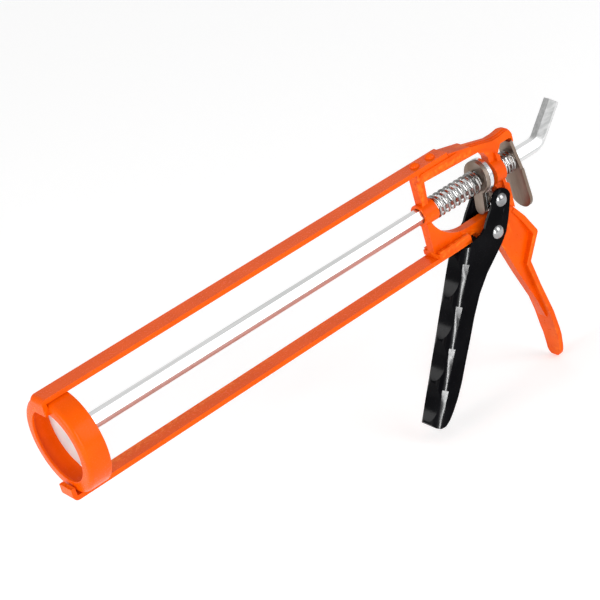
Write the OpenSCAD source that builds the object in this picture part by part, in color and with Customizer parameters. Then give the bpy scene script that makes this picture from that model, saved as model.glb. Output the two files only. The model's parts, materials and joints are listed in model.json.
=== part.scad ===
// Skeleton caulking gun for rigid cartridges, with a hexagonal push rod and friction grip plates.
// +X runs from the nose to the rear along the push rod, +Z is up, and the handle hangs down.
// The origin is the centre of the nozzle opening, on the front face of the nose ring.

/* [Nose ring] */
// Outer radius of the ring that holds the front of the cartridge
ring_r = 28.5; // [27:0.5:32]
// Depth of the ring along the gun
ring_depth = 14; // [10:0.5:20]
// Sheet thickness of the ring and its lip
ring_wall = 1.6; // [1.2:0.1:2]
// Radius of the opening that the nozzle passes through
nozzle_r = 21.5; // [18:0.5:22]
// Radius of the pressed outer corner of the ring
ring_corner_r = 3; // [1:0.5:4]

/* [Rails] */
// Width of the flat bar rails
rail_w = 11.6; // [10:0.2:14]
// Thickness of the flat bar rails
rail_t = 2.8; // [2:0.2:4]
// Rise of the upper rail from the ring to its rear end
upper_rail_rise = 0.4; // [0:0.2:2]
// Rise of the lower rail from the ring to its rear end
lower_rail_rise = 2.8; // [0:0.2:3]
// Rear end of the upper rail
upper_rail_end = 285; // [284:1:290]
// Rear end of the lower rail
lower_rail_end = 287; // [284:1:289]
// Gap between the lip and the turned-up end of the lower rail
lower_tab_gap = 1; // [0.5:0.1:1.5]

/* [Push rod] */
// Distance across the flats of the hexagonal rod
rod_flats = 8.2; // [7.6:0.1:8.4]
// Height of the rod axis above the centre of the nose ring
rod_z = 2; // [1:0.5:3]
// Angle of the bent pull at the rear end
pull_angle = 47; // [30:1:60]
// Length of the straight part of the bent pull
pull_len = 23; // [15:1:35]
// Centre-line radius of the bend
pull_bend_r = 9; // [8:0.5:12]
// Radius of the plunger disc
plunger_r = 23; // [20:0.5:24]

/* [Springs] */
// Outer radius of the main spring
main_spring_r = 7; // [6.6:0.1:7.2]
// Wire thickness of the main spring
main_wire = 1.5; // [1.2:0.1:1.8]
// Turns of the main spring
main_turns = 9.5; // [7:0.5:11]
// Outer radius of the release spring
release_spring_r = 7; // [6.6:0.1:7.4]
// Wire thickness of the release spring
release_wire = 1.2; // [1:0.1:1.4]
// Turns of the release spring
release_turns = 3; // [2:0.5:3.5]

/* [Grip and release plates] */
// Thickness of each grip plate
plate_t = 2.5; // [2:0.1:2.8]
// Backward lean of the grip plates
plate_lean = 6; // [4:0.5:7]
// Thickness of the release plate
release_t = 2.2; // [1.8:0.1:2.5]
// Width of the release plate's lower end
release_w = 17.6; // [16:0.2:20]
// Lean of the release plate, lower end backwards
release_lean = 4; // [3:0.5:5]

/* [Casting and trigger] */
// Thickness of the casting's web
web_t = 6.4; // [5:0.2:8]
// Width of the flange along the back of the handle
handle_w = 14; // [12:0.5:18]
// Outside width of the pressed steel trigger
trigger_w = 20; // [19.6:0.1:21]
// Sheet thickness of the trigger
trigger_t = 1.6; // [1.2:0.1:1.6]
// Radius of the rivets that the trigger turns on and drives with
rivet_r = 2.7; // [2.4:0.1:2.8]

/* [Hidden] */
$fn = 64;

paint_orange = [0.93, 0.33, 0.05];
zinc = [0.78, 0.79, 0.8];
steel = [0.55, 0.52, 0.5];
black_paint = [0.05, 0.05, 0.055];

fit_gap = 0.06;      // radial clearance of a running fit
touch_gap = 0.2;     // clearance between parts that only lean on each other
cut = 0.5;           // how far a cutting shape runs past a face
rod_corner_r = rod_flats / sqrt(3);
rod_bore_r = rod_corner_r + fit_gap;
plate_bore_gap = 0.55; // looseness of a plate on the rod, which lets it lean and grip
plate_bore_r = rod_corner_r + plate_bore_gap;

upper_slope = upper_rail_rise / upper_rail_end;
lower_slope = lower_rail_rise / lower_rail_end;
function upper_rail_z(x) = ring_r + upper_slope * x;
function lower_rail_z(x) = -ring_r + lower_slope * (x - ring_depth);

// Casting
column_x = 261;
front_boss_x = [259, 269];
front_boss_r = 6.8;
rear_boss_x = [314.5, 322];
rear_boss_r = 8;
flange_x = [261, 286];
flange_w = 14.4;
flange_t = 3;
lug_w = 8.6;
rib_w = 3.2;
rib_step = 0.5;
beam_top_z = 30.6;
ledge_x = [262, 292];
ledge_z = [-1.8, -0.4]; // below the underside of the upper rail
ledge_proud = 0.7;
rear_flange_w = 10;
pivot_boss_r = 6.5;
handle_tip_z = -134;
hook_x = 335.5;
hook_wall = 2;
neck_x = 324;
rivet_x = [264.8, 276.6];
lower_rivet_x = [264.5, 272.5];
rail_rivet_r = 2;
upper_head = [3.1, 2.6]; // radius and height of a rivet head
lower_head = [3.2, 1.4];
rivet_reach = [7.5, 3.6]; // how far the upper and the lower rivets reach into the casting

// Trigger
pivot = [303.8, -29.7];
drive = [311.6, -12.2];
ear_r = 7.2;
roller_r = 3.5;
bush_r = 4;
washer_r = 4.6;
washer_t = 0.8;
cross_head = [4.3, 2.2]; // radius and height of a cross rivet's head
peened_end = [3.8, 1.4];
ear_in = trigger_w / 2 - trigger_t;
boss_half = ear_in - 0.2;
grip_top = [275.6, -33];
grip_angle = 29.2;
grip_len = 100;
finger_pitch = 25.3;
finger_depth = 2.2;
facet_angle = 52;
facet_run = 18;
facet_depth = 0.18;
finger_r = (pow(finger_pitch / 2 - 0.6, 2) + pow(finger_depth, 2)) / (2 * finger_depth);

// Plates: the rear face of the pair stands a little in front of the drive roller
plates_back_x = drive[0] - (roller_r + touch_gap + (drive[1] - rod_z) * sin(plate_lean)) / cos(plate_lean);
disc_r = [10, 10.6];
disc_rise = 1.5;
tongue_w = 8;
tongue_z = -20;
release_x = 331.6;
release_top = 13.5;
release_bottom = -32.6;

// Points of a circular arc, from angle a to angle b
function arc(c, r, a, b, n = 8) = [
    for (i = [0:n]) let (t = a + (b - a) * i / n) c + r * [cos(t), sin(t)]
];

// A side view outline, drawn as [x, z] and made w wide, centred on the gun
module slab(w) { rotate([90, 0, 0]) linear_extrude(w, center = true) children(); }

// A cylinder along X between two stations, on the rod axis by default
module bar_x(x0, x1, r, z = rod_z) {
    translate([x0, 0, z]) rotate([0, 90, 0]) cylinder(h = x1 - x0, r = r);
}

// A cylinder along Y, centred on the gun, at [x, z]
module bar_y(at, w, r) {
    translate([at[0], 0, at[1]]) rotate([90, 0, 0]) cylinder(h = w, r = r, center = true);
}

// Low domed rivet head on a face, pointing along +Z; size is its radius and height
module rivet_head(size) {
    r = size[0];
    h = size[1];
    dome_r = (r * r + h * h) / (2 * h);
    intersection() {
        translate([0, 0, h - dome_r]) sphere(r = dome_r, $fn = 48);
        cylinder(h = h, r = r);
    }
}

// Wire helix along X: rings of an eight-sided wire, closed at both ends
module coil_x(x0, x1, outer_r, wire, turns, step = 20) {
    sides = 8;
    mean_r = outer_r - wire / 2;
    run = x1 - x0 - wire;
    rings = floor(turns * 360 / step);
    points = [
        for (i = [0:rings]) for (k = [0:sides - 1])
            let (a = i * step, b = 360 * k / sides, r = mean_r + wire / 2 * cos(b))
            [x0 + wire / 2 + run * i / rings + wire / 2 * sin(b), r * cos(a), rod_z + r * sin(a)]
    ];
    walls = [
        for (i = [0:rings - 1]) for (k = [0:sides - 1])
            let (n = (k + 1) % sides)
            [i * sides + k, i * sides + n, (i + 1) * sides + n, (i + 1) * sides + k]
    ];
    first = [[for (k = [sides - 1:-1:0]) k]];
    last = [[for (k = [0:sides - 1]) rings * sides + k]];
    polyhedron(points = points, faces = concat(first, walls, last), convexity = 10);
}

// ---- Frame ----

// Outline of the casting's window: straight sides and a round lower front corner
module window_outline() {
    polygon(concat(
        [[266.4, 21.2], [308, 19.4], [312, 17.4], [314.5, 13], [314.5, -6], [316, -8.5]],
        [[316, -18], [314, -20]],
        arc([288, 5.5], 25.5, 270, 203, 10)
    ));
}

// Back of the casting from the lug's top over the hook, down its lip and along its underside;
// drop lowers the top, so that layers of different widths leave ribs along it
function hook_points(drop) = concat(
    [[310, 25 - drop], [319, 22.7 - drop], [325, 22.6 - drop]],
    arc([hook_x - 5, 18.4], 5 - drop, 106, 0, 8),
    [[hook_x - drop, 14.4], [hook_x - drop - 0.4, 14], [hook_x - hook_wall, 14]],
    [[hook_x - hook_wall, 16.3], [hook_x - hook_wall - 1, 17.3], [326, 17.3]]
);

// Rear edge of the column: a flat seat for the release spring, then the neck above the handle
function neck_points() = [[rear_boss_x[1], 11.5], [rear_boss_x[1], -6.5], [neck_x, -8.5], [neck_x, -24.6]];

// Side outline of the web: column, beam, rear column and the inner part of the handle
module web_outline() {
    polygon(concat(
        [[column_x, lower_rail_z(column_x) + 0.5], [column_x, upper_rail_z(column_x)]],
        [[upper_rail_end + 0.4, upper_rail_z(upper_rail_end + 0.4)], [upper_rail_end + 0.4, beam_top_z]],
        hook_points(rib_step),
        neck_points(),
        [[328.6, -32.8], [332.8, -44.8], [323.2, -61.4], [326.2, -79.6], [330.4, -99], [331.6, -107]],
        [[328.4, -103], [325, -90], [316.6, -66.7], [311, -49.4], [309.2, -43.6]],
        arc(pivot, 7.6, 280, 180, 6),
        [[293.6, lower_rail_z(287)], [lower_rail_end + 0.6, lower_rail_z(lower_rail_end)]]
    ));
}

// Side outline of the wide flange that follows the back of the handle
module handle_flange_outline() {
    back = [[324.4, -25.4], [329.6, -33.4], [334.6, -44.8], [334.6, -46.4], [325, -61.8], [328.1, -79.6],
            [332.6, -100.8], [334.6, -118.6], [334.4, -126.4], [333.6, -131.4], [332.8, -134]];
    front = [[331, -133.2], [331.4, -127], [331.4, -118.8], [329.4, -101.4], [325, -80.2],
             [321.6, -62], [331, -46], [326.2, -34.6], [322, -27]];
    polygon(concat(back, front));
}

// Front view outline of that flange: narrow at the neck, wide at the spur, round at the tip
module handle_flange_front() {
    half = handle_w / 2;
    tip_r = half - 1.2;
    tip_z = handle_tip_z + tip_r;
    right = [[web_t / 2, -24], [half, -45.6], [half - 0.6, -62], [half, -100], [half, -114], [tip_r, tip_z]];
    for (side = [0, 1]) mirror([side, 0]) polygon(concat([[0, -24]], right, [[0, tip_z]]));
    translate([0, tip_z]) circle(r = tip_r);
}

// Strip that lies along the lower rail, w wide, from h0 to h1 above it
module rail_strip(x0, x1, w, h0, h1) {
    slab(w) polygon([[x0, lower_rail_z(x0) + h0], [x0, lower_rail_z(x0) + h1],
                     [x1, lower_rail_z(x1) + h1], [x1, lower_rail_z(x1) + h0]]);
}

// One layer of the lug, w wide, with its top lowered by drop
module lug(w, drop) {
    slab(w) polygon(concat([[296, 24.6], [296, 28.2 - drop]], hook_points(drop), [[318, 17.3], [311, 20.4]]));
}

module body_solid() {
    slab(web_t) difference() {
        web_outline();
        window_outline();
    }
    // beam under the upper rail, as wide as the rail
    slab(rail_w) polygon([[column_x, upper_rail_z(column_x) - 4.5], [column_x, upper_rail_z(column_x)],
                          [upper_rail_end + 0.4, upper_rail_z(upper_rail_end)],
                          [upper_rail_end + 0.4, beam_top_z], [302, 26.8], [302, 22.6]]);
    // ledge along the beam under the rail
    slab(rail_w + 2 * ledge_proud) polygon([
        for (p = [[ledge_x[0], ledge_z[0]], [ledge_x[0] + 1, ledge_z[1]],
                  [ledge_x[1] - 1, ledge_z[1]], [ledge_x[1], ledge_z[0]]])
            [p[0], upper_rail_z(p[0]) + p[1]]
    ]);
    // lug that ends in the rear hook, stepped along its top
    lug(lug_w, 2 * rib_step);
    lug(rib_w, 0);
    // flange down the back of the rear column
    slab(rear_flange_w) polygon(concat([[319, 14]], neck_points(), [[neck_x - 3.4, -21]]));
    // bosses that guide the push rod
    bar_x(front_boss_x[0], front_boss_x[1], front_boss_r);
    bar_x(rear_boss_x[0], rear_boss_x[1], rear_boss_r);
    // boss that the trigger turns on
    bar_y(pivot, 2 * boss_half, pivot_boss_r);
    // flange on the lower rail, with a rib along each edge
    rail_strip(flange_x[0], flange_x[1], flange_w, 0, flange_t);
    for (side = [-1, 1]) translate([0, side * (flange_w / 2 - 1), 0])
        rail_strip(flange_x[0] + 1, flange_x[1] - 1, 2, flange_t - 1, flange_t + 1.2);
    // wide flange along the back of the handle
    intersection() {
        slab(handle_w) handle_flange_outline();
        translate([300, 0, 0]) rotate([90, 0, 90]) linear_extrude(60) handle_flange_front();
    }
}

module body_casting() {
    color(paint_orange) difference() {
        body_solid();
        bar_x(front_boss_x[0] - cut, front_boss_x[1] + cut, rod_bore_r);
        bar_x(rear_boss_x[0] - cut, rear_boss_x[1] + cut, rod_bore_r);
        bar_y(pivot, trigger_w, bush_r);
        for (x = rivet_x) translate([x, 0, 0]) cylinder(h = 60, r = rail_rivet_r + fit_gap);
        for (x = lower_rivet_x) translate([x, 0, -40]) cylinder(h = 20, r = rail_rivet_r + fit_gap);
    }
}

// Flat bar laid over the ring, turned down in front of it and riveted to the beam
module upper_rail() {
    bend_r = rail_t + 0.6;
    tab_z = nozzle_r + 0.5;
    color(paint_orange) difference() {
        slab(rail_w) polygon(concat(
            [[0, tab_z], [0, upper_rail_z(0)], [upper_rail_end, upper_rail_z(upper_rail_end)],
             [upper_rail_end, upper_rail_z(upper_rail_end) + rail_t]],
            arc([bend_r - rail_t, upper_rail_z(0) + rail_t - bend_r], bend_r, 90, 180, 8),
            [[-rail_t, tab_z]]
        ));
        for (x = rivet_x) translate([x, 0, 0]) cylinder(h = 60, r = rail_rivet_r + fit_gap);
    }
}

// Flat bar run under the ring and turned up in front of it, with a gap that the nozzle flange can use
module lower_rail() {
    bend_r = rail_t + 0.6;
    tab_back = -lower_tab_gap;
    tab_top = -nozzle_r - 2;
    color(paint_orange) difference() {
        slab(rail_w) polygon(concat(
            [[tab_back, tab_top], [tab_back, lower_rail_z(0)]],
            [[lower_rail_end, lower_rail_z(lower_rail_end)]],
            [[lower_rail_end, lower_rail_z(lower_rail_end) - rail_t]],
            arc([tab_back - rail_t + bend_r, lower_rail_z(0) - rail_t + bend_r], bend_r, 270, 180, 8),
            [[tab_back - rail_t, tab_top]]
        ));
        for (x = lower_rivet_x) translate([x, 0, -40]) cylinder(h = 20, r = rail_rivet_r + fit_gap);
    }
}

// Pressed steel cup with an inward lip, which stops the cartridge
module front_ring() {
    inner_r = ring_r - ring_wall;
    inner_corner = ring_corner_r - ring_wall;
    color(paint_orange) rotate([0, 90, 0]) rotate_extrude($fn = 96) polygon(concat(
        [[nozzle_r, ring_wall], [nozzle_r, 0]],
        arc([ring_r - ring_corner_r, ring_corner_r], ring_corner_r, 270, 360, 6),
        [[ring_r, ring_depth], [inner_r, ring_depth]],
        arc([ring_r - ring_corner_r, ring_corner_r], inner_corner, 360, 270, 4)
    ));
}

// Rivet along Z: shank from the bar's far side, head standing on the face at head_z
module rail_rivet(x, head_z, head, grip, up) {
    translate([x, 0, head_z]) mirror([0, 0, up ? 0 : 1]) {
        rivet_head(head);
        translate([0, 0, -grip]) cylinder(h = grip + head[1] / 2, r = rail_rivet_r);
    }
}

module upper_rail_rivets() {
    color(paint_orange) for (x = rivet_x)
        rail_rivet(x, upper_rail_z(x) + rail_t + upper_slope * upper_head[0], upper_head,
                   rail_t + rivet_reach[0], true);
}

module lower_rail_rivets() {
    color(paint_orange) for (x = lower_rivet_x)
        rail_rivet(x, lower_rail_z(x) - rail_t - lower_slope * lower_head[0], lower_head,
                   rail_t + rivet_reach[1], false);
}

// ---- Trigger ----

// Side outline of the pressed trigger, before the finger recesses
module trigger_outline() {
    polygon(concat(
        arc(drive, ear_r, 2, 178, 12),
        [[297.6, -19.4], [295, -23], [291.6, -25.3], [286, -26.4], [280.8, -28.6]],
        [grip_top, [227.2, -119.6]],
        [[226.6, -121.8], [227.6, -123.8], [229.8, -125], [233, -124.6], [236.8, -122], [240.4, -118.6]],
        [[246, -112.2], [251.6, -104.4], [257.8, -94], [265, -82.4], [272, -70.6], [280, -59]],
        [[289, -49.6], [299.6, -41.4], [304.8, -37.4], [309.6, -32.4], [312.8, -26.6], [315.8, -20]]
    ));
}

// Round-nosed bar along the grip, of radius r, with its nose set back by inset
module grip_nose(r, inset) {
    translate([grip_top[0], 0, grip_top[1]]) rotate([0, grip_angle, 0])
        translate([inset, 0, -140]) linear_extrude(190) {
            translate([r, 0]) circle(r = r);
            translate([r, -r]) square([140, 2 * r]);
        }
}

// Shallow flat beside a finger recess, deepest at its top, cut on one side of the nose
module side_facet(along, side) {
    r = trigger_w / 2;
    lean = atan(facet_depth / facet_run);
    translate([grip_top[0], 0, grip_top[1]]) rotate([0, grip_angle, 0])
        translate([r, 0, -along - facet_run / 2]) rotate([0, 0, side * facet_angle])
            translate([-r, 0, 0]) rotate([0, lean, 0])
                translate([-3, -5, 0]) cube([3, 10, facet_run]);
}

module trigger() {
    nose_wall = finger_depth + trigger_t;
    color(black_paint) difference() {
        intersection() {
            slab(trigger_w) trigger_outline();
            grip_nose(trigger_w / 2, 0);
        }
        // hollow of the channel, open at the back and between the ears
        intersection() {
            slab(2 * ear_in)
                polygon([[276, -29.2], [231, -110.6], [238, -140], [340, -140], [340, 20], [270, 20]]);
            union() {
                grip_nose(ear_in, nose_wall);
                translate([260, -50, -29.2]) cube([80, 100, 60]);
            }
        }
        // four finger recesses across the nose, with a facet on each side
        for (i = [0:3]) {
            along = finger_pitch * (i + 0.5);
            out = finger_r - finger_depth;
            down = [-sin(grip_angle), -cos(grip_angle)];
            forward = [-cos(grip_angle), sin(grip_angle)];
            bar_y(grip_top + along * down + out * forward, trigger_w + 2 * cut, finger_r);
            for (side = [-1, 1]) side_facet(along, side);
        }
        bar_y(pivot, trigger_w + 2 * cut, rivet_r + fit_gap);
        bar_y(drive, trigger_w + 2 * cut, rivet_r + fit_gap);
    }
}

// Rivet across the trigger: domed head on the left, plain shank, peened end on the right
module cross_rivet(at, washer) {
    end_y = trigger_w / 2 + washer;
    translate([at[0], 0, at[1]]) {
        rotate([90, 0, 0]) translate([0, 0, -end_y]) cylinder(h = trigger_w + washer, r = rivet_r);
        translate([0, -trigger_w / 2, 0]) rotate([90, 0, 0]) rivet_head(cross_head);
        translate([0, end_y, 0]) rotate([-90, 0, 0]) rivet_head(peened_end);
    }
}

// Plain washer under the peened end of a cross rivet
module end_washer(at, t) {
    translate([at[0], trigger_w / 2 + t / 2, at[1]]) rotate([90, 0, 0]) difference() {
        cylinder(h = t, r = washer_r, center = true);
        cylinder(h = t + 2 * cut, r = rivet_r + fit_gap, center = true);
    }
}

module trigger_pivot_rivet() { color(zinc) cross_rivet(pivot, washer_t); }
module trigger_pivot_washer() { color(zinc) end_washer(pivot, washer_t); }
module drive_rivet() { color(zinc) cross_rivet(drive, washer_t); }
module drive_rivet_washer() { color(zinc) end_washer(drive, washer_t); }

// Steel bush pressed into the casting, which the pivot rivet runs in
module pivot_bush() {
    color(steel) difference() {
        bar_y(pivot, 2 * boss_half, bush_r);
        bar_y(pivot, 2 * boss_half + 2 * cut, rivet_r + fit_gap);
    }
}

// Roller on the drive rivet, which pushes the tongues of the grip plates
module drive_roller() {
    color(steel) difference() {
        bar_y(drive, 2 * boss_half, roller_r);
        bar_y(drive, 2 * boss_half + 2 * cut, rivet_r + fit_gap);
    }
}

// ---- Grip plates, spring and rod ----

// One grip plate: a disc with a tongue, bored for the rod; back is its rear face behind the pair's
module grip_plate(r, back) {
    translate([plates_back_x, 0, rod_z]) rotate([0, plate_lean, 0])
        translate([-back, 0, 0]) rotate([0, -90, 0]) linear_extrude(plate_t) difference() {
            union() {
                translate([disc_rise, 0]) circle(r = r);
                translate([tongue_z + tongue_w / 2 - rod_z, 0]) {
                    translate([0, -tongue_w / 2]) square([-tongue_z + rod_z, tongue_w]);
                    circle(r = tongue_w / 2);
                }
            }
            circle(r = plate_bore_r);
        }
}

module grip_plate_front() { color(steel) grip_plate(disc_r[0], plate_t); }
module grip_plate_rear() { color(zinc) grip_plate(disc_r[1], 0); }

module main_spring() {
    front = front_boss_x[1] + 0.05;
    back = plates_back_x - 2 * plate_t / cos(plate_lean) - main_spring_r * tan(plate_lean) - 0.05;
    color(zinc) coil_x(front, back, main_spring_r, main_wire, main_turns);
}

// Hexagonal bar, bent up at the rear for the pull; its round spigot carries the plunger
// and ends in a countersunk head, flush with the plunger's face
spigot_r = 3;
spigot_head_r = 4.5;
spigot_head_t = 1.1;
plunger_x = 10.5;
plunger_t = 1.5;
collar_r = 9;
press_gap = 0.02; // radial clearance of a pressed fit
rod_start_x = plunger_x + 3.2;
bend_x = 350;
module hexagon() { rotate(30) circle(r = rod_corner_r, $fn = 6); }
module push_rod() {
    color(zinc) translate([0, 0, rod_z]) {
        translate([rod_start_x, 0, 0]) rotate([0, 90, 0]) linear_extrude(bend_x - rod_start_x) hexagon();
        translate([bend_x, 0, pull_bend_r]) rotate([90, 0, 0]) rotate([0, 0, -90])
            rotate_extrude(angle = pull_angle, $fn = 96) translate([pull_bend_r, 0]) hexagon();
        translate([bend_x + pull_bend_r * sin(pull_angle), 0, pull_bend_r * (1 - cos(pull_angle))])
            rotate([0, 90 - pull_angle, 0]) linear_extrude(pull_len) hexagon();
        translate([plunger_x, 0, 0]) rotate([0, 90, 0]) {
            cylinder(h = rod_start_x - plunger_x, r = spigot_r);
            cylinder(h = spigot_head_t, r1 = spigot_head_r, r2 = spigot_r);
        }
    }
}

// Dished steel disc that pushes the cartridge's own piston
module plunger_disc() {
    t = plunger_t;
    rim = 4.5;
    color(zinc) translate([plunger_x, 0, rod_z]) rotate([0, 90, 0]) rotate_extrude($fn = 96) polygon(concat(
        [[spigot_r + fit_gap, spigot_head_t], [spigot_head_r + fit_gap, 0]],
        arc([plunger_r - 2, 2], 2, 270, 360, 5),
        [[plunger_r, rim], [plunger_r - t, rim]],
        arc([plunger_r - 2, 2], 2 - t, 360, 270, 3),
        [[spigot_r + fit_gap, t]]
    ));
}

// Collar between the rod's shoulder and the back of the plunger
module plunger_collar() {
    color(steel) difference() {
        bar_x(plunger_x + plunger_t + 0.1, rod_start_x, collar_r);
        bar_x(plunger_x, rod_start_x + cut, spigot_r + press_gap);
    }
}

// ---- Release ----

// Flat plate hung in the hook, bored for the rod, narrow at the top with a wide thumb end below
module release_plate() {
    top_half = 5.4;
    shoulder = -5;
    shoulder_half = 8.2;
    end_r = release_w / 2;
    color(steel) translate([release_x, 0, rod_z]) rotate([0, -release_lean, 0])
        rotate([0, -90, 0]) translate([0, 0, -release_t]) linear_extrude(release_t) difference() {
            union() {
                polygon([[shoulder, -shoulder_half], [release_top, -top_half],
                         [release_top, top_half], [shoulder, shoulder_half]]);
                translate([release_bottom + end_r, 0]) {
                    translate([0, -end_r]) square([shoulder - release_bottom - end_r, release_w]);
                    circle(r = end_r);
                }
            }
            circle(r = plate_bore_r);
        }
}

module release_spring() {
    front = rear_boss_x[1] + 0.05;
    back = release_x - release_spring_r * tan(release_lean) - 0.05;
    color(zinc) coil_x(front, back, release_spring_r, release_wire, release_turns);
}

body_casting();
upper_rail();
lower_rail();
front_ring();
upper_rail_rivets();
lower_rail_rivets();
trigger();
trigger_pivot_rivet();
trigger_pivot_washer();
pivot_bush();
drive_rivet();
drive_rivet_washer();
drive_roller();
grip_plate_front();
grip_plate_rear();
main_spring();
push_rod();
plunger_disc();
plunger_collar();
release_plate();
release_spring();
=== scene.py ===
import json
import math

import bmesh
import bpy
from mathutils import Matrix, Vector


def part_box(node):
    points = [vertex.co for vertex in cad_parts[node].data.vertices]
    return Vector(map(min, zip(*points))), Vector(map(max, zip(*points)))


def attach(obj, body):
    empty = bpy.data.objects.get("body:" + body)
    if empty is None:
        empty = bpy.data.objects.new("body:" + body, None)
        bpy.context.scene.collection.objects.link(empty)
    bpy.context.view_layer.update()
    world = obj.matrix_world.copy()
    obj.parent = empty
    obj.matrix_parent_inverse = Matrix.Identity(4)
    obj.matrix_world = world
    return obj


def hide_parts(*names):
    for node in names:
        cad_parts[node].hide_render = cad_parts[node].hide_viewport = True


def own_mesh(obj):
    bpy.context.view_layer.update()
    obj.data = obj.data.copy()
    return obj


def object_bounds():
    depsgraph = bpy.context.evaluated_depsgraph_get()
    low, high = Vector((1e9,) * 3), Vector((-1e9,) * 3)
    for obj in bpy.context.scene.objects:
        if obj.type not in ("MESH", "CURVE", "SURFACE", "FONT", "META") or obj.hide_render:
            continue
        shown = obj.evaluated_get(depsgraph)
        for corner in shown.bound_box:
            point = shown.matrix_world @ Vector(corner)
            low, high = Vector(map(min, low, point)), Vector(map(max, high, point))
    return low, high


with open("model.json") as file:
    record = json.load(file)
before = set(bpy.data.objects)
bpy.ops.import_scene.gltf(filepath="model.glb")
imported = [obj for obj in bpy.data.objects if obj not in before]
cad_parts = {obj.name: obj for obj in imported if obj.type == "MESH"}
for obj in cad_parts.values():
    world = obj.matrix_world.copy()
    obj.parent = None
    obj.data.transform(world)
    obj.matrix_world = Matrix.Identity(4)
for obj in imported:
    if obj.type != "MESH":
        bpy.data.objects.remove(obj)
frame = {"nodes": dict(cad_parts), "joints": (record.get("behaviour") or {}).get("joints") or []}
cad_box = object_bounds()
nodes = frame["nodes"]
joints = {j["name"]: j for j in frame["joints"]}

MM = 0.001
ROD_Z = joints["rod_turn"]["pos_m"][2]


# ---- Finishes ----

# Stretches of the noise's range that carry the change of tone, of grain and of wear
TONE_BAND = (0.35, 0.65)
GRAIN_BAND = (0.3, 0.7)
WORN_BAND = (0.4, 0.62)
MOST_WORN = 0.8
# Pointiness at which the wear on an edge begins and is full
EDGE_POINTINESS = (0.56, 0.64)
BLOTCHES_A_TONE = 6


def add(tree, kind, sockets=None, **settings):
    """A new shader node, with its settings and its unlinked socket values."""
    made = tree.nodes.new(kind)
    for name, value in settings.items():
        setattr(made, name, value)
    for name, value in (sockets or {}).items():
        made.inputs[name].default_value = value
    return made


def noise(tree, coords, stretch, scale, detail=3.0):
    """Noise in the part's own space. A small stretch value draws it out along that axis."""
    mapping = add(tree, "ShaderNodeMapping", {"Scale": stretch})
    tree.links.new(coords, mapping.inputs["Vector"])
    made = add(tree, "ShaderNodeTexNoise", {"Scale": scale, "Detail": detail})
    tree.links.new(mapping.outputs["Vector"], made.inputs["Vector"])
    return made.outputs["Fac"]


def spread(tree, source, low, high, to_low, to_high):
    """source from low to high, mapped to to_low to to_high and clamped."""
    made = add(
        tree,
        "ShaderNodeMapRange",
        {"From Min": low, "From Max": high, "To Min": to_low, "To Max": to_high},
    )
    tree.links.new(source, made.inputs["Value"])
    return made.outputs["Result"]


def blend(tree, factor, a, b):
    """Mix of two colours, each a tuple or another node's output."""
    made = add(tree, "ShaderNodeMix", data_type="RGBA")
    tree.links.new(factor, made.inputs["Factor"])
    for name, value in (("A", a), ("B", b)):
        socket = next(s for s in made.inputs if s.name == name and s.type == "RGBA")
        if isinstance(value, tuple):
            socket.default_value = (*value, 1)
        else:
            tree.links.new(value, socket)
    return next(s for s in made.outputs if s.type == "RGBA")


def finish(
    name,
    dark,
    light,
    worn,
    rough,
    metallic=0.0,
    specular=0.5,
    stretch=(1, 1, 1),
    tone_scale=60,
    grain_scale=900,
    grain_depth=0.02 * MM,
    grain_strength=0.3,
    mottle=0.03,
):
    """A finish: slow colour variation, fine grain in roughness and bump, and wear along sharp edges.

    rough is the lowest and highest roughness of the grain, and mottle is how far blotches move it.
    """
    material = bpy.data.materials.new(name)
    material.use_nodes = True
    tree = material.node_tree
    shader = tree.nodes["Principled BSDF"]
    coords = add(tree, "ShaderNodeTexCoord").outputs["Object"]
    tone = noise(tree, coords, stretch, tone_scale, 4.0)
    grain = noise(tree, coords, stretch, grain_scale)
    blotch = noise(tree, coords, stretch, tone_scale * BLOTCHES_A_TONE)
    colour = blend(tree, spread(tree, tone, *TONE_BAND, 0, 1), dark, light)
    pointiness = add(tree, "ShaderNodeNewGeometry").outputs["Pointiness"]
    edge = spread(tree, pointiness, *EDGE_POINTINESS, 0, 1)
    patchy = add(tree, "ShaderNodeMath", operation="MULTIPLY")
    tree.links.new(edge, patchy.inputs[0])
    tree.links.new(spread(tree, blotch, *WORN_BAND, 0, MOST_WORN), patchy.inputs[1])
    tree.links.new(
        blend(tree, patchy.outputs[0], colour, worn), shader.inputs["Base Color"]
    )
    both = add(tree, "ShaderNodeMath", operation="ADD")
    tree.links.new(spread(tree, grain, *GRAIN_BAND, *rough), both.inputs[0])
    tree.links.new(spread(tree, blotch, *GRAIN_BAND, -mottle, mottle), both.inputs[1])
    tree.links.new(both.outputs[0], shader.inputs["Roughness"])
    bump = add(
        tree,
        "ShaderNodeBump",
        {"Strength": grain_strength, "Distance": grain_depth},
    )
    tree.links.new(grain, bump.inputs["Height"])
    tree.links.new(bump.outputs["Normal"], shader.inputs["Normal"])
    shader.inputs["Metallic"].default_value = metallic
    shader.inputs["Specular IOR Level"].default_value = specular
    return material


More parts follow.
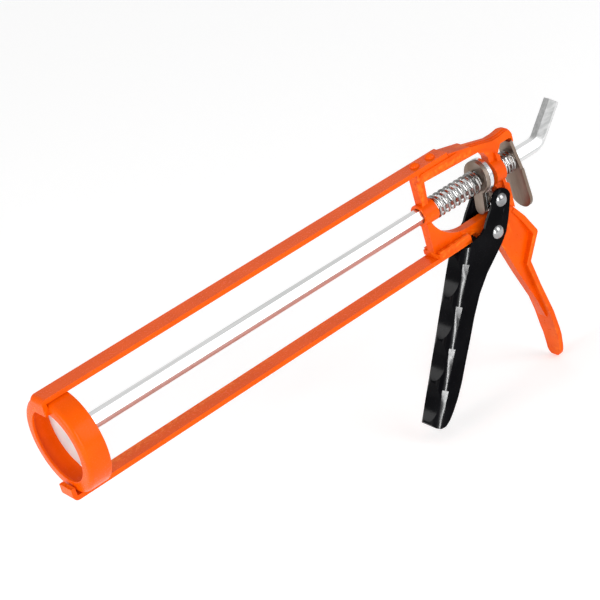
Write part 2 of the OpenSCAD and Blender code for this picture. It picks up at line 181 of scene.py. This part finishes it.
ALONG_ROD = (0.02, 1, 1)
PAINT = {"specular": 0.11, "grain_strength": 0.1}
METAL = {"metallic": 1.0, "grain_strength": 0.12}
FINISHES = {
    "orange_sheet": finish(
        "orange_sheet", (0.8, 0.088, 0.0), (0.88, 0.1, 0.0), (0.95, 0.18, 0.01),
        (0.2, 0.3), grain_scale=1100, **PAINT,
    ),
    "orange_casting": finish(
        "orange_casting", (0.74, 0.078, 0.0), (0.88, 0.102, 0.0), (0.95, 0.18, 0.01),
        (0.26, 0.4), grain_scale=420, grain_depth=0.12 * MM, **PAINT,
    ),
    "black_gloss": finish(
        "black_gloss", (0.0006, 0.0006, 0.0008), (0.0015, 0.0015, 0.0018), (0.012, 0.012, 0.014),
        (0.13, 0.18), specular=0.025, grain_scale=700, grain_strength=0.1,
    ),
    "bright_zinc": finish(
        "bright_zinc", (0.66, 0.68, 0.7), (0.84, 0.86, 0.87), (0.95, 0.95, 0.95),
        (0.2, 0.32), grain_scale=1500, tone_scale=110, **METAL,
    ),
    "drawn_zinc": finish(
        "drawn_zinc", (0.58, 0.59, 0.585), (0.66, 0.67, 0.665), (0.82, 0.82, 0.82),
        (0.28, 0.31), metallic=1.0, stretch=ALONG_ROD, grain_scale=1600, tone_scale=90,
        grain_strength=0.05, mottle=0.01,
    ),
    "dull_zinc": finish(
        "dull_zinc", (0.6, 0.6, 0.6), (0.74, 0.74, 0.73), (0.85, 0.85, 0.85),
        (0.5, 0.62), metallic=0.25, grain_scale=1500, grain_strength=0.15, tone_scale=60,
    ),
    "rivet_zinc": finish(
        "rivet_zinc", (0.25, 0.255, 0.26), (0.4, 0.405, 0.41), (0.62, 0.62, 0.62),
        (0.16, 0.28), grain_scale=1500, tone_scale=160, **METAL,
    ),
    "blanked_steel": finish(
        "blanked_steel", (0.2, 0.145, 0.11), (0.36, 0.3, 0.255), (0.72, 0.69, 0.66),
        (0.34, 0.5), stretch=(1, 1, 0.08), grain_scale=1300, tone_scale=70, **METAL,
    ),
    "spring_wire": finish(
        "spring_wire", (0.2, 0.19, 0.18), (0.56, 0.55, 0.54), (0.8, 0.8, 0.8),
        (0.14, 0.26), grain_scale=2500, tone_scale=150, **METAL,
    ),
}

NODE_FINISH = {
    "orange_sheet": ["upper_rail", "lower_rail", "front_ring", "upper_rail_rivets", "lower_rail_rivets"],
    "orange_casting": ["body_casting"],
    "black_gloss": ["trigger"],
    "bright_zinc": ["grip_plate_rear"],
    "rivet_zinc": ["trigger_pivot_rivet", "trigger_pivot_washer", "drive_rivet", "drive_rivet_washer"],
    "dull_zinc": ["plunger_disc"],
    "drawn_zinc": ["push_rod"],
    "blanked_steel": ["grip_plate_front", "release_plate", "plunger_collar", "drive_roller", "pivot_bush"],
    "spring_wire": ["main_spring", "release_spring"],
}

# Radius of each node's rounded edges, in millimetres
EDGE = {
    "body_casting": 0.7,
    "trigger": 0.45,
    "front_ring": 0.35,
    "upper_rail": 0.3,
    "lower_rail": 0.3,
}
OTHER_EDGE = 0.18
# Smallest turn between two faces that is rounded: less on the trigger, whose facets are shallow
EDGE_ANGLE = {"trigger": 9}
OTHER_EDGE_ANGLE = 32
# Points closer than the gap are merged, and faces within the angle of flat, in degrees, are joined
WELD_GAP = 0.002 * MM
FLAT_ANGLE = 0.5


def soften(obj, edge_mm, edge_angle):
    """Smooth shading, with every edge sharper than edge_angle degrees rounded to that radius."""
    mesh = obj.data
    if "custom_normal" in mesh.attributes:
        mesh.attributes.remove(mesh.attributes["custom_normal"])
    mesh.polygons.foreach_set("use_smooth", [True] * len(mesh.polygons))
    weld = obj.modifiers.new("weld", "WELD")
    weld.merge_threshold = WELD_GAP
    flat = obj.modifiers.new("flat", "DECIMATE")
    flat.decimate_type = "DISSOLVE"
    flat.angle_limit = math.radians(FLAT_ANGLE)
    bevel = obj.modifiers.new("edges", "BEVEL")
    bevel.width = edge_mm * MM
    bevel.segments = 3
    bevel.limit_method = "ANGLE"
    bevel.angle_limit = math.radians(edge_angle)
    bevel.harden_normals = True
    bevel.miter_outer = "MITER_ARC"


for finish_name, members in NODE_FINISH.items():
    for member in members:
        piece = nodes[member]
        piece.data.materials.clear()
        piece.data.materials.append(FINISHES[finish_name])
        if finish_name != "spring_wire":
            soften(piece, EDGE.get(member, OTHER_EDGE), EDGE_ANGLE.get(member, OTHER_EDGE_ANGLE))


# ---- Springs ----

STEPS_A_TURN = 40
WIRE_SIDES = 14
# Height of the dome on a wire's end, as a share of its radius
END_DOME = 0.5


def mesh_piece(name, verts, faces, material, body):
    """A new smooth mesh piece that rides on a body."""
    mesh = bpy.data.meshes.new(name)
    mesh.from_pydata(verts, [], faces)
    mesh.polygons.foreach_set("use_smooth", [True] * len(mesh.polygons))
    mesh.materials.append(material)
    obj = bpy.data.objects.new(name, mesh)
    bpy.context.scene.collection.objects.link(obj)
    bm = bmesh.new()
    bm.from_mesh(mesh)
    bmesh.ops.recalc_face_normals(bm, faces=bm.faces)
    bm.to_mesh(mesh)
    bm.free()
    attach(obj, body)
    return obj


def sweep(path, radius, sides=WIRE_SIDES):
    """Round wire along a path of points: vertices and faces, with domed ends."""
    verts, faces = [], []
    side = Vector((0, 0, 1))
    last = len(path) - 1
    for i, at in enumerate(path):
        ahead = (path[min(i + 1, last)] - path[max(i - 1, 0)]).normalized()
        side = (side - side.dot(ahead) * ahead).normalized()
        other = ahead.cross(side)
        for k in range(sides):
            a = 2 * math.pi * k / sides
            verts.append(at + radius * (math.cos(a) * side + math.sin(a) * other))
    for i in range(last):
        for k in range(sides):
            n = (k + 1) % sides
            faces.append((i * sides + k, i * sides + n, (i + 1) * sides + n, (i + 1) * sides + k))
    for ring, point, out in ((0, path[0], path[0] - path[1]), (last, path[-1], path[-1] - path[-2])):
        tip = len(verts)
        verts.append(point + END_DOME * radius * out.normalized())
        faces += [(ring * sides + k, ring * sides + (k + 1) % sides, tip) for k in range(sides)]
    return verts, faces


def compression_spring(name, node, turns, wire, body):
    """A wire spring in the CAD spring's box, with a closed turn at each end.
    """
    low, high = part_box(node)
    inner = (high.y - low.y) / 2 - wire / 2
    start, end = low.x + wire / 2, high.x - wire / 2
    open_turns = turns - 2
    pitch = (end - start - 2 * wire) / open_turns
    path = []
    for i in range(round(turns * STEPS_A_TURN) + 1):
        turn = i / STEPS_A_TURN
        closed_front = min(turn, 1)
        closed_back = max(turn - (turns - 1), 0)
        x = start + wire * (closed_front + closed_back) + pitch * (turn - closed_front - closed_back)
        a = 2 * math.pi * turn
        path.append(Vector((x, inner * math.cos(a), ROD_Z + inner * math.sin(a))))
    verts, faces = sweep(path, wire / 2)
    spring = mesh_piece(name, verts, faces, FINISHES["spring_wire"], body)
    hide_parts(node)
    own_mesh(spring)


MAIN_TURNS = 9.5
MAIN_WIRE = 1.5 * MM
RELEASE_TURNS = 4
RELEASE_WIRE = 1.2 * MM
compression_spring(
    "main_spring_wire", "main_spring", MAIN_TURNS, MAIN_WIRE, "frame",
)
# the release plate turns about the hook, so the foot of the spring sets how far it is pressed
compression_spring(
    "release_spring_wire", "release_spring", RELEASE_TURNS, RELEASE_WIRE, "frame",
)


# ---- Floor, light and camera ----

FLOOR_GAP = 0.5 * MM
FLOOR_SIZE = 8
FLOOR_GLOW = 0.26


def floor():
    """A wide pale floor just under the part."""
    z = cad_box[0].z - FLOOR_GAP
    mesh = bpy.data.meshes.new("floor")
    corners = [(-FLOOR_SIZE, -FLOOR_SIZE, z), (FLOOR_SIZE, -FLOOR_SIZE, z)]
    corners += [(FLOOR_SIZE, FLOOR_SIZE, z), (-FLOOR_SIZE, FLOOR_SIZE, z)]
    mesh.from_pydata(corners, [], [(0, 1, 2, 3)])
    obj = bpy.data.objects.new("floor", mesh)
    bpy.context.scene.collection.objects.link(obj)
    material = bpy.data.materials.new("pale_floor")
    material.use_nodes = True
    shader = material.node_tree.nodes["Principled BSDF"]
    shader.inputs["Base Color"].default_value = (0.93, 0.93, 0.93, 1)
    shader.inputs["Roughness"].default_value = 0.9
    shader.inputs["Specular IOR Level"].default_value = 0.1
    shader.inputs["Emission Color"].default_value = (1, 1, 1, 1)
    shader.inputs["Emission Strength"].default_value = FLOOR_GLOW
    mesh.materials.append(material)


def softbox(name, at, target, width, height, strength, only=None):
    """A soft light that adds strength times a surface's own colour where it falls square on, at the target.

    only is the one object that it lights, where that isn't all of them.
    """
    light = bpy.data.lights.new(name, "AREA")
    light.shape = "RECTANGLE"
    light.size = width
    light.size_y = height
    offset = Vector(at) - Vector(target)
    light.energy = strength * math.pi**2 * offset.length_squared
    obj = bpy.data.objects.new(name, light)
    bpy.context.scene.collection.objects.link(obj)
    obj.location = at
    obj.rotation_euler = (-offset).to_track_quat("-Z", "Y").to_euler()
    if only:
        lit = bpy.data.collections.new(f"{name}_lights")
        lit.objects.link(only)
        obj.light_linking.receiver_collection = lit


floor()
middle = (0.19, 0.0, -0.02)
softbox("key", (0.99, -1.62, 0.88), middle, 1.2, 1.3, 0.34)
softbox("side", (-1.1, -1.7, 0.4), middle, 0.8, 0.8, 0.24)
softbox("back", (0.95, 1.5, 0.9), middle, 1.5, 1.0, 0.065)
softbox("nose", (-1.7, 0.2, 0.5), (0, 0, 0), 1.0, 1.0, 0.5)
softbox("glint", (-0.7, -1.4, 0.9), middle, 0.12, 0.5, 0.15)
# The last two shine on the trigger only, whose near-black paint needs strong highlights
grip = (0.25, -0.01, -0.08)
softbox("grip_side", (-0.636, -1.33, 0.15), grip, 0.12, 0.5, 3.6, nodes["trigger"])
softbox("grip_front", (-0.72, 0.98, 0.75), grip, 0.7, 0.7, 0.8, nodes["trigger"])

WORLD_STRENGTH = 0.5
world = bpy.data.worlds.new("studio")
bpy.context.scene.world = world
world.use_nodes = True
world.node_tree.nodes["Background"].inputs["Color"].default_value = (1, 1, 1, 1)
world.node_tree.nodes["Background"].inputs["Strength"].default_value = WORLD_STRENGTH
bpy.context.scene.view_settings.view_transform = "Standard"

# Viewing direction and distance of the reference view
AZIMUTH = math.radians(-31.18)
ELEVATION = math.radians(27.56)
ROLL = math.radians(-16.5)
AIM = Vector((0.1312, -0.0592, 0.0331))
DISTANCE = 1.204
LENS = 138.8
SENSOR = 36
CLIP_START = 0.05

back = Vector(
    (
        math.sin(AZIMUTH) * math.cos(ELEVATION),
        -math.cos(AZIMUTH) * math.cos(ELEVATION),
        math.sin(ELEVATION),
    )
)
level = Vector((math.cos(AZIMUTH), math.sin(AZIMUTH), 0))
right = math.cos(ROLL) * level + math.sin(ROLL) * back.cross(level)
up = back.cross(right)
camera = bpy.data.objects.new("camera", bpy.data.cameras.new("camera"))
camera.data.lens = LENS
camera.data.sensor_width = SENSOR
camera.data.clip_start = CLIP_START
bpy.context.scene.collection.objects.link(camera)
facing = Matrix((right, up, back)).transposed().to_4x4()
camera.matrix_world = Matrix.Translation(AIM + DISTANCE * back) @ facing
bpy.context.scene.camera = camera
